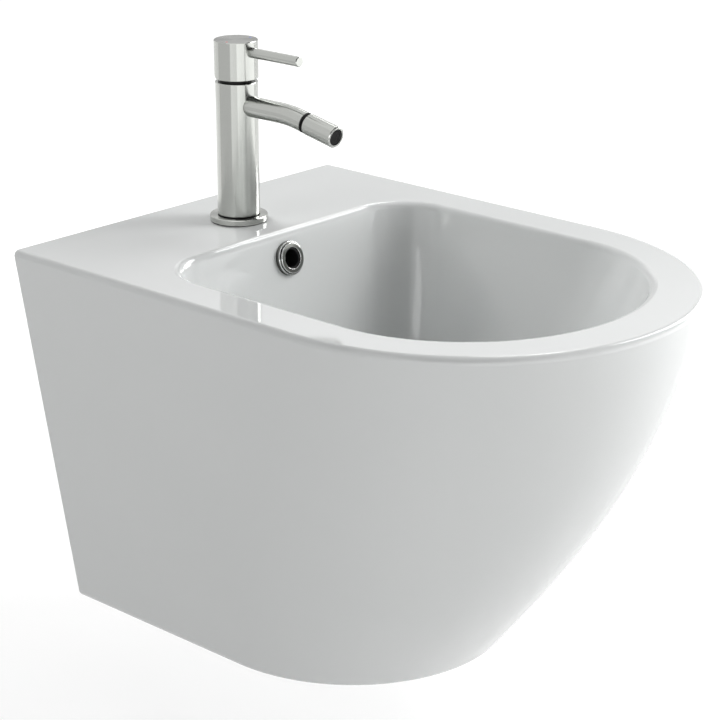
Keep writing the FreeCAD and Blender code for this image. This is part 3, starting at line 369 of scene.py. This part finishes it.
def supported(outline):
    """The outline with two more points near the ends of each long straight, to keep its shading flat."""
    points = []
    for here, ahead in zip(outline, outline[1:] + outline[:1]):
        run = Vector(ahead) - Vector(here)
        points.append(here)
        if run.length > LONG_RUN:
            step = run.normalized() * SUPPORT
            points += [Vector(here) + step, Vector(ahead) - step]
    return points


def overflow_outline():
    """Half section of the ring and its tube, as radius and rise from the seat."""
    outline = [(OVERFLOW_BORE, -TUBE_LENGTH), (TUBE_RADIUS, -TUBE_LENGTH)]
    outline += [(TUBE_RADIUS, 0), (RING_RADIUS, 0)]
    outline += rounded((RING_RADIUS, RING_STEP), OUTER_ROUND, OUTER_EDGE)
    outline += [(FACE_RADIUS, RING_STEP)]
    outline += rounded((FACE_RADIUS, RING_HEIGHT), OUTER_ROUND, OUTER_EDGE)
    outline += rounded((OVERFLOW_BORE, RING_HEIGHT), INNER_ROUND, INNER_EDGE)
    return supported(outline)


def turned(name, outline, seat, axis):
    """A closed outline turned about an axis through its seat."""
    across = axis.orthogonal().normalized()
    upward = axis.cross(across)
    count = len(outline)
    points = []
    faces = []
    for turn in range(RING_TURNS):
        angle = 2 * pi * turn / RING_TURNS
        outward = across * cos(angle) + upward * sin(angle)
        points += [seat + outward * radius + axis * rise for radius, rise in outline]
        here = turn * count
        ahead = (turn + 1) % RING_TURNS * count
        for index in range(count):
            following = (index + 1) % count
            faces.append((here + index, ahead + index, ahead + following, here + following))
    mesh = bpy.data.meshes.new(name)
    mesh.from_pydata(points, [], faces)
    mesh.shade_smooth()
    mesh.set_sharp_from_angle(angle=SHARP_ANGLE)
    return mesh


def paint_edge_highlights(mesh, outline, face_finish, edge_highlight):
    """One finish on the ring's long runs and another on the short ones, which are its edges, as a painted
    highlight there.
    """
    mesh.materials.append(face_finish)
    mesh.materials.append(edge_highlight)
    count = len(outline)
    for face in mesh.polygons:
        here = face.index % count
        run = Vector(outline[(here + 1) % count]) - Vector(outline[here])
        face.material_index = int(run.length < EDGE_RUN)


ring_outline = overflow_outline()
overflow_rim = put("overflow_rim", turned("overflow_rim", ring_outline, OVERFLOW_SEAT, OVERFLOW_AXIS))
# Bright chrome on the rounded edges as painted highlight, over the ring's face in painted shade
paint_edge_highlights(overflow_rim.data, ring_outline, overflow_painted_shade, finishes["chrome"])
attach(overflow_rim, "ceramic")
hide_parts("overflow_ring")


# World and floor

AMBIENT = (0.08, 0.08, 0.08, 1)
WHITE = (1, 1, 1, 1)
FLOOR_LEVEL = -0.315
FLOOR_SIDE = 12
FLOOR_SHADE = (0.34, 0.34, 0.34, 1)


def make_world():
    """White to the camera and in reflections, and dim as a light."""
    world = bpy.data.worlds.new("studio")
    world.use_nodes = True
    tree = world.node_tree
    background = tree.nodes["Background"]
    feed(background.inputs["Color"], mixed(tree, seen_ray(tree), AMBIENT, WHITE))
    feed(background.inputs["Strength"], 1)
    scene.world = world


def panel(name, at, aim, size):
    """A flat rectangle facing a point."""
    right = size[0] / 2
    top = size[1] / 2
    mesh = bpy.data.meshes.new(name)
    mesh.from_pydata([(-right, -top, 0), (right, -top, 0), (right, top, 0), (-right, top, 0)],
                     [], [(0, 1, 2, 3)])
    sheet = put(name, mesh, at)
    turn_to(sheet, Vector(aim) - Vector(at), "Z")
    return sheet


def pale_floor():
    """Grey under the lamps, and near white with the part's shadow to the camera and in reflections."""
    pale = Shader("pale_floor")
    pale.paint((0.5, 0.5, 0.5), (0.54, 0.54, 0.54), pale.noise(pale.place, scale=3))
    pale.set(Roughness=0.9)
    away = pale.vector("LENGTH", pale.place, output="Value")
    glow = pale.add("ShaderNodeEmission")
    feed(glow.inputs["Strength"], pale.spread(away, low=0.69, high=1, start=0.9, end=1.9))
    shaded = pale.add("ShaderNodeBsdfDiffuse")
    feed(shaded.inputs["Color"], FLOOR_SHADE)
    lit = pale.add("ShaderNodeAddShader")
    feed(lit.inputs[0], glow.outputs["Emission"])
    feed(lit.inputs[1], shaded.outputs["BSDF"])
    blend = pale.add("ShaderNodeMixShader")
    feed(blend.inputs["Fac"], seen_ray(pale.tree))
    feed(blend.inputs[1], pale.surface.outputs["BSDF"])
    feed(blend.inputs[2], lit.outputs["Shader"])
    pale.finish_with(blend.outputs["Shader"])
    return pale.material


make_world()
floor = panel("floor", (0, 0, FLOOR_LEVEL), UP, (FLOOR_SIDE, FLOOR_SIDE))
floor.data.materials.append(pale_floor())


# Lamps, which light the part, and cards, which show only in its reflections

BODY_MIDDLE = Vector((0, -0.24, 0.02))
TAP_MIDDLE = Vector((0, TAP_AXIS.y, 0.15))
RIM_MIDDLE = Vector((0, -0.25, 0.085))
FLAG_LEVEL = 1.4
FLAG_AIM = Vector((0, TAP_AXIS.y, FLAG_LEVEL))
FLAG_GLOW = 0.04


def lamp(name, at, size, power):
    """A softbox aimed at the body, which doesn't show in reflections."""
    data = bpy.data.lights.new(name, "AREA")
    data.shape = "RECTANGLE"
    data.size = size[0]
    data.size_y = size[1]
    data.energy = power
    item = put(name, data, at)
    turn_to(item, BODY_MIDDLE - Vector(at), "-Z")
    item.visible_glossy = False


def card(name, at, aim, size, glow, top_glow=None, fade=None):
    """A glowing card that shows only in reflections, of one grey or going from one to another up it."""
    sheet = panel(name, at, aim, size)
    shader = Shader(name)
    strength = glow
    if top_glow:
        level = shader.add("ShaderNodeSeparateXYZ")
        feed(level.inputs["Vector"], shader.place)
        strength = shader.spread(level.outputs["Y"], glow, top_glow, *fade)
    light = shader.add("ShaderNodeEmission")
    feed(light.inputs["Strength"], strength)
    shader.finish_with(light.outputs["Emission"])
    sheet.data.materials.append(shader.material)
    sheet.visible_camera = False
    sheet.visible_diffuse = False
    sheet.visible_shadow = False


lamp("right_softbox", at=(1.9, -0.25, 0.75), size=(1.1, 1.2), power=13)
lamp("front_right_softbox", at=(1.5, -1.7, 0.7), size=(1.2, 1.2), power=20)
lamp("right_top_softbox", at=(1.0, -0.9, 1.1), size=(0.6, 0.6), power=12)
lamp("rear_softbox", at=(0.3, 1.9, 1.2), size=(1.2, 1.2), power=45)
lamp("left_softbox", at=(-1.9, 0.2, 0.6), size=(1, 1), power=11.8)
lamp("front_low_softbox", at=(0.1, -2.3, -0.05), size=(1.4, 0.45), power=14)
lamp("camera_low_softbox", at=(-1.6, -1.7, -0.05), size=(1.4, 0.45), power=5.8)

card("left_camera_card", at=(-0.85, -0.58, 0), aim=TAP_MIDDLE, size=(0.6, 0.6), glow=1.4)
card("right_camera_card", at=(-0.37, -0.99, 0), aim=TAP_MIDDLE, size=(0.72, 0.6), glow=1.95)
card("left_grey_card", at=(-1, 0.3, -0.05), aim=TAP_MIDDLE, size=(1.7, 0.7), glow=0.86)
card("front_right_card", at=(0.6, -0.99, 0.02), aim=TAP_MIDDLE, size=(1.2, 0.5), glow=2)
card("right_window", at=(1.9, -0.47, 1.35), aim=(0, -0.47, 1.35), size=(0.95, 2.2), glow=8)
card("rear_right_window", at=(1.31, 0.5, 1.44), aim=RIM_MIDDLE, size=(0.35, 0.5), glow=8)
card("left_window", at=(-1.19, -0.27, 0.99), aim=RIM_MIDDLE, size=(0.4, 0.4), glow=3.2)
card("top_card", at=(0, -0.3, 2), aim=RIM_MIDDLE, size=(1.8, 1.8), glow=1.6)
card("rear_card", at=(1.67, 1.8, 0.83), aim=(0, -0.06, 0.83), size=(2.6, 1.05),
     glow=0.65, top_glow=1.5, fade=(0.01, 0.22))
card("front_top_flag", at=(0, -0.95, 1.95), aim=TAP_MIDDLE, size=(2, 1), glow=FLAG_GLOW)
card("camera_flag", at=(-0.76, -1.24, FLAG_LEVEL), aim=FLAG_AIM, size=(1.6, 2.3), glow=FLAG_GLOW)
card("front_right_flag", at=(0.78, -1.26, FLAG_LEVEL), aim=FLAG_AIM, size=(1.9, 2.3), glow=FLAG_GLOW)


# Camera, fitted to the photo, with its lens in millimetres

CAMERA_PLACE = (-1.2419, -1.3326, 0.5945)
CAMERA_LOOK = (0.6964, 0.6337, -0.3368)
CAMERA_LENS = 111.25
CAMERA_SENSOR = 36

view = bpy.data.cameras.new("photo_view")
view.sensor_width = CAMERA_SENSOR
view.lens = CAMERA_LENS
camera = put("photo_view", view, CAMERA_PLACE)
turn_to(camera, CAMERA_LOOK, "-Z")
scene.camera = camera
